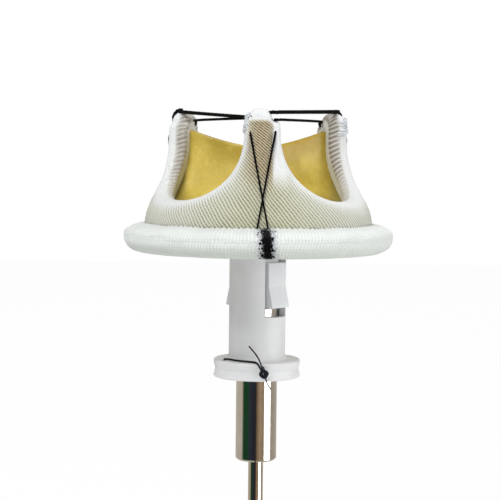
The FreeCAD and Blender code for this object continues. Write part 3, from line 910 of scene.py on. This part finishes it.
def leaflet_point(across, rise):
    """Middle of a closed leaflet. across runs between its posts, rise from the seam to the free edge."""
    reach = free_edge_post - leaflet_nadir
    side_turn = math.degrees(math.acos((leaflet_side_height / reach) ** (leaflet_power / 2)))
    corner = Vector((flap_offset + leaflet_radius / 2, leaflet_radius * math.sin(math.radians(60)), 0))
    half_angle = math.degrees(math.atan2(corner.y, corner.x))
    turn = across * side_turn
    azimuth, height = crown_point(half_angle, leaflet_nadir, free_edge_post, turn, leaflet_power)
    widest = crown_point(half_angle, leaflet_nadir, free_edge_post, side_turn, leaflet_power)[0]
    stretch = half_angle / abs(widest)
    seam = polar(corner.length, azimuth * stretch, height)
    y = across * corner.y
    x = flap_offset + math.hypot(y / math.tan(math.radians(60)), coaptation_round * (1 - across ** 2))
    free = Vector((x, y, free_edge_post - free_edge_dip * (1 - abs(across) ** 1.5)))
    inward = 1 - (1 - rise) ** 2.2
    upward = rise ** 1.5
    flat = seam.lerp(free, inward)
    return Vector((flat.x, flat.y, lerp(seam.z, free.z, upward)))


def make_leaflet(cusp, azimuth):
    """A leaflet of tissue, curved from its seam to its free edge."""
    wide, high = 72, 44
    step = 0.01
    front, back, uvs = [], [], []
    for i in range(wide + 1):
        across = math.sin(math.radians(-90 + 180 * i / wide))
        front_row, back_row, uv_row = [], [], []
        for j in range(high + 1):
            rise = j / high
            a = leaflet_point(min(across + step, 1), rise) - leaflet_point(max(across - step, -1), rise)
            b = leaflet_point(across, min(rise + step, 1)) - leaflet_point(across, max(rise - step, 0))
            normal = a.cross(b).normalized()
            middle = leaflet_point(across, rise)
            ripple = 0.05 * noise.noise(middle * 0.45 + Vector((azimuth, 0, 0)))
            middle = middle + normal * (ripple * rise * (1 - rise) * 4)
            half = leaflet_thickness / 2 * (0.55 + 0.45 * math.sqrt(max(0.0, 1 - rise ** 8)))
            front_row.append(middle + normal * half)
            back_row.append(middle - normal * half)
            uv_row.append((across * 10, rise * 12))
        front.append(front_row)
        back.append(back_row)
        uvs.append(uv_row)
    rows = [f + b[::-1] for f, b in zip(front, back)]
    uv_rows = [u + u[::-1] for u in uvs]
    turn = math.radians(azimuth)
    spin = Matrix.Rotation(turn, 3, "Z")
    rows = [[spin @ p for p in row] for row in rows]
    rows = [[rows[0][0]] * len(rows[0])] + rows + [[rows[-1][0]] * len(rows[0])]
    uv_rows = [uv_rows[0]] + uv_rows + [uv_rows[-1]]
    leaflet = weld(grid_object("leaflet_" + cusp + "_tissue", rows, uv_rows, False, True))
    dress(leaflet, "tissue_" + cusp, "tissue", None, "leaflet_" + cusp)
    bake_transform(leaflet)


# sutures

def post_frame(azimuth, radius, sideways, height):
    """A point near a post, from its radius, its distance sideways from the post's middle and its height."""
    return polar(radius, azimuth, height) + polar(sideways, azimuth + 90)


def make_tip_sutures():
    """Two black strands from the front post's tip to the tip of each rear post."""
    front, left, right = POSTS["front"], POSTS["rear_left"], POSTS["rear_right"]
    left_upper = [
        (front, 12.1, -1.35, 17.75), (front, 11.5, -2.2, 17.7), (left, 11.2, 1.1, 18.72),
        (left, 11.9, 0.35, 19.0), (left, 12.75, 0.15, 18.85), (left, 13.28, 0.1, 18.2),
        (left, 13.25, 0.1, 17.5),
    ]
    left_lower = [
        (front, 11.9, -1.3, 17.5), (front, 11.3, -2.25, 17.52), (left, 10.4, -0.6, 17.62),
        (left, 10.3, -0.9, 17.35), (left, 10.55, -0.9, 16.95),
    ]
    right_upper = [
        (front, 12.2, 0.75, 18.2), (front, 11.9, 1.3, 18.3), (front, 11.4, 2.0, 18.32),
        (right, 11.4, -1.2, 18.95), (right, 11.9, -0.4, 19.0), (right, 12.75, -0.2, 18.85),
        (right, 13.28, -0.1, 18.1), (right, 13.25, -0.1, 17.4),
    ]
    right_lower = [
        (front, 12.0, 1.5, 17.3), (front, 11.5, 2.2, 17.38), (right, 10.4, 0.5, 17.62),
        (right, 10.3, 0.9, 17.35), (right, 10.55, 0.9, 16.95),
    ]
    for name, upper, lower, wide in (
        ("front_left", left_upper, left_lower, 0.21), ("front_right", right_upper, right_lower, 0.23),
    ):
        node = "tip_sutures_" + name
        over = smooth_path([post_frame(*spot) for spot in upper])
        under = smooth_path([post_frame(*spot) for spot in lower])
        strands = [
            strand_object(node + "_upper", over, wide, thin=1.15),
            strand_object(node + "_lower", under, 0.17),
        ]
        dress(join("tip_strands_" + name, strands), "black", "suture_black", "valve", node)


def make_cross_sutures():
    """Two thin strands that cross on the outside of each post."""
    for name, azimuth in POSTS.items():
        node = "cross_sutures_" + name
        strands = []
        for side in (-1, 1):
            points = []
            for k in range(31):
                t = k / 30
                z = lerp(15.9, foot_height + 0.1, t)
                sideways = side * lerp(1.62, -0.68, t)
                lift = 0.2 * bell(sideways, 0.35) if side > 0 else 0.0
                clear = lerp(-0.15, 0.17, smooth(t / 0.06)) + lift
                out = math.sqrt((skirt_radius(z) + clear) ** 2 - sideways ** 2)
                points.append(post_frame(azimuth, out, sideways, z))
            strands.append(strand_object(node + str(side), smooth_path(points), 0.14, 0.4, thin=0.75))
        dress(join("cross_strands_" + name, strands), "black", "suture_black", "valve", node)


def make_edge_stitches():
    """Whip stitches over the left side of each post's tip."""
    for name, azimuth in POSTS.items():
        strands = []
        for k in range(7):
            z = 15.9 + 0.3 * k + random.uniform(-0.06, 0.06)
            side = lerp(-2.4, -2.12, k / 6) + random.uniform(-0.07, 0.07)
            reach = random.uniform(0.35, 0.75)
            points = [
                post_frame(azimuth, 12.8, side + reach, z + reach * 0.9),
                post_frame(azimuth, 12.85, side + 0.2, z + 0.3),
                post_frame(azimuth, 12.35, side, z), post_frame(azimuth, 11.6, side + 0.15, z - 0.15),
                post_frame(azimuth, 11.1, side + 0.6, z - 0.1),
            ]
            wide = random.uniform(0.09, 0.14)
            strands.append(strand_object(name + str(k), smooth_path(points, 0.06), wide, 0.35))
        stitches = join("edge_stitches_" + name, strands)
        dress(stitches, "white_thread", "skirt_twill", "valve")


def make_hub_ties():
    """Threads that tie the hub's arms to the cloth."""
    strands = []
    for name, azimuth in POSTS.items():
        corners = [polar(10.5, azimuth, 2.3), polar(10.5, azimuth, 0.16), polar(11.78, azimuth, 0.16)]
        strands.append(strand_object("hub_tie_" + name, smooth_path(corners, 0.06), 0.11, 0.3))
    dress(join("hub_threads", strands), "dark", "suture_dark", "valve", "hub_ties")


def make_tie():
    """Tie suture over the holder's flange, with its knot, a small loop and two cut ends."""
    lie = -14.23            # height of the strand's middle on the flange
    knot_turn = -83.4
    knot = polar(6.43, knot_turn, -15.648)
    out, side, up = polar(1.0, knot_turn), polar(1.0, knot_turn + 90), Vector((0, 0, 1))
    run = smooth_path([
        polar(5.0, -152, lie - 0.9), polar(5.0, -152, lie - 0.1), polar(4.75, -146, lie + 0.02),
        polar(4.75, -122, lie), polar(5.25, -100, lie), polar(6.02, -91.5, lie - 0.1),
        knot - side * 0.25 + up * 0.3,
    ], 0.08)
    dress(strand_object("tie_strand", run, 0.13, 0.36), "dark", "suture_dark", "valve", "tie_suture")
    loops = []
    for k, (tip, lean, wide, high) in enumerate((
        (10, 5, 0.50, 0.34), (75, -20, 0.46, 0.36), (-40, 30, 0.44, 0.40), (35, -35, 0.36, 0.44),
        (-75, 12, 0.40, 0.30),
    )):
        turn = Quaternion(out, math.radians(tip)) @ Quaternion(side, math.radians(lean))
        path = []
        for q in range(28):
            a = math.tau * q / 28
            spot = side * (wide * math.cos(a)) + up * (high * math.sin(a))
            spot += out * (0.16 * math.sin(2 * a + k))
            wobble = 1 + 0.16 * noise.noise(Vector((math.cos(a), math.sin(a), 3.1 * k)))
            path.append(knot + turn @ (spot * wobble))
        rows = sweep_rows(path, lambda i, angle: 0.15 * (1 + PLY_DEPTH * math.cos(3 * angle - i * 1.1)), True)
        loops.append(grid_object("loop" + str(k), rows, None, True, True))
    small = []
    for q in range(16):
        a = math.radians(-60 + 20 * q)
        around = side * (0.2 * math.cos(a)) + up * (0.32 * math.sin(a))
        small.append(knot + up * 0.62 - side * 0.2 + around + out * 0.05 * a)
    loops.append(strand_object("small_loop", smooth_path(small, 0.06), 0.08, 0.3))
    dress(join("knot", loops), "dark", "suture_dark", "valve", "tie_knot")
    ends = []
    for q, (aside, rise) in enumerate(((-2.15, 3.8), (0.73, -1.85))):
        end = knot + out * 0.9 + side * aside + up * rise
        bow = knot + out * 0.75 + side * aside * 0.42 + up * rise * 0.58
        path = smooth_path([knot + out * 0.3, bow, end], 0.1)
        ends.append(strand_object("end" + str(q), path, 0.095, 0.3))
    dress(join("tie_ends", ends), "dark", "suture_dark", "valve", "tie_tails")


# rigid pieces

def dress_nodes():
    """Materials of the pieces that keep their modelled shape."""
    finishes = {
        "white": ["holder_hub", "holder_sleeve"],
        "blue_white": ["holder_plunger"],
        "steel": ["handle_adapter", "threaded_stud"],
        "rod": ["handle_rod"],
        "inner_metal": ["stent_band"],
        "silicone": ["ring_core"],
    }
    for material, nodes in finishes.items():
        for node in nodes:
            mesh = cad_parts[node].data
            mesh.materials.clear()
            mesh.materials.append(MATERIALS[material])


# stage

def make_stage():
    """Pale floor below the handle."""
    floor_mesh = bpy.data.meshes.new("floor")
    reach = 0.6
    floor_z = CAD_BOX[0].z - 0.0005
    corners = [(x * reach, y * reach, floor_z) for x, y in ((-1, -1), (1, -1), (1, 1), (-1, 1))]
    floor_mesh.from_pydata(corners, [], [(0, 1, 2, 3)])
    floor = add_object("floor", floor_mesh)
    g = Graph("floor")
    g.set(Base_Color=(0.85, 0.85, 0.85), Roughness=0.9)
    glow = g.node("ShaderNodeEmission")
    rays = g.node("ShaderNodeLightPath").outputs
    seen = g.times(rays["Is Camera Ray"], 0.95)
    white = g.mix_shader(seen, g.shader, glow)
    clear = g.node("ShaderNodeBsdfTransparent")
    both = g.mix_shader(rays["Is Glossy Ray"], white, clear)
    g.tree.links.new(both.outputs[0], g.tree.nodes["Material Output"].inputs[0])
    floor_mesh.materials.append(g.material)


def make_world():
    """White room. Polished metal sees dark and coloured bands and a bright window in it."""
    g = Graph("room", bpy.data.worlds)
    bpy.context.scene.world = g.material
    g.tree.nodes.clear()
    rays = g.node("ShaderNodeLightPath").outputs
    direction = g.split(g.node("ShaderNodeTexCoord").outputs["Generated"])
    white = (1.0, 1.0, 1.0, 1.0)
    seen = g.node("ShaderNodeBackground", {0: white, 1: 1.0})
    brightness = g.times(direction["X"], 0.26, 0.42)
    soft = g.node("ShaderNodeBackground", {0: white, 1: brightness})
    angle = g.math("ARCTAN2", direction["X"], g.times(direction["Y"], -1.0))
    turn = g.node("ShaderNodeMapRange", {0: angle, 1: -math.pi, 2: math.pi}).outputs[0]
    bands = g.ramp(turn, [
        (0.0, (0.55, 0.50, 0.43)), (0.25, (0.52, 0.47, 0.38)), (0.28, (0.012, 0.05, 0.02)),
        (0.37, (0.012, 0.055, 0.02)), (0.385, (0.03, 0.035, 0.055)), (0.49, (0.015, 0.015, 0.02)),
        (0.51, (0.20, 0.13, 0.07)), (0.56, (0.40, 0.30, 0.19)), (0.625, (0.24, 0.17, 0.10)),
        (0.645, (1.0, 1.0, 1.0)), (0.69, (1.0, 0.98, 0.94)), (0.72, (0.36, 0.31, 0.25)),
        (1.0, (0.55, 0.50, 0.43)),
    ])
    gloss = g.node("ShaderNodeBackground", {0: bands})
    unseen = g.mix_shader(rays["Is Glossy Ray"], soft, gloss)
    room = g.mix_shader(rays["Is Camera Ray"], unseen, seen)
    g.node("ShaderNodeOutputWorld", {0: room.outputs[0]})


def place_object(obj, place, direction, roll=0.0):
    """Puts a lamp or the camera at a place, looking along a direction."""
    obj.location = place
    obj.rotation_mode = "QUATERNION"
    obj.rotation_quaternion = direction.to_track_quat("-Z", "Y") @ Quaternion((0, 0, 1), roll)


def make_lamp(name, place, size, power):
    """A soft square lamp that points at the valve."""
    lamp = bpy.data.lights.new(name, "AREA")
    lamp.size = size
    lamp.energy = power
    place_object(add_object(name, lamp), place, -Vector(place))


def make_lights():
    make_lamp("key", (-0.22, -0.30, 0.44), 0.30, 2.8)
    make_lamp("low_right", (0.42, -0.20, -0.02), 0.30, 1.3)
    make_lamp("back", (0.05, 0.5, 0.45), 0.40, 0.8)


def make_camera():
    """Camera at the photograph's viewing angle, for a square picture."""
    distance = 0.200
    elevation = math.radians(3.5)
    azimuth = math.radians(-1.7)
    roll = math.radians(0.6)
    picture_width = 0.06715
    aim = Vector((-0.00107, 0.0, 0.0002))
    camera_data = bpy.data.cameras.new("camera")
    camera_data.sensor_width = 36.0
    camera_data.lens = 36.0 * distance / picture_width
    camera_data.clip_start = 0.01
    camera_data.clip_end = 10.0
    camera = add_object("camera", camera_data)
    flat = math.cos(elevation)
    back = Vector((math.sin(azimuth) * flat, -math.cos(azimuth) * flat, math.sin(elevation)))
    place_object(camera, aim + back * distance, -back, roll)
    bpy.context.scene.camera = camera


def main():
    random.seed(4)
    bpy.context.scene.view_settings.view_transform = "Standard"
    make_camera()
    make_ring()
    make_guide_marks()
    make_crown()
    make_wire()
    make_lining()
    for cusp, azimuth in CUSPS.items():
        make_leaflet(cusp, azimuth)
    make_tip_sutures()
    make_cross_sutures()
    make_edge_stitches()
    make_hub_ties()
    make_tie()
    dress_nodes()
    make_stage()
    make_world()
    make_lights()


main()
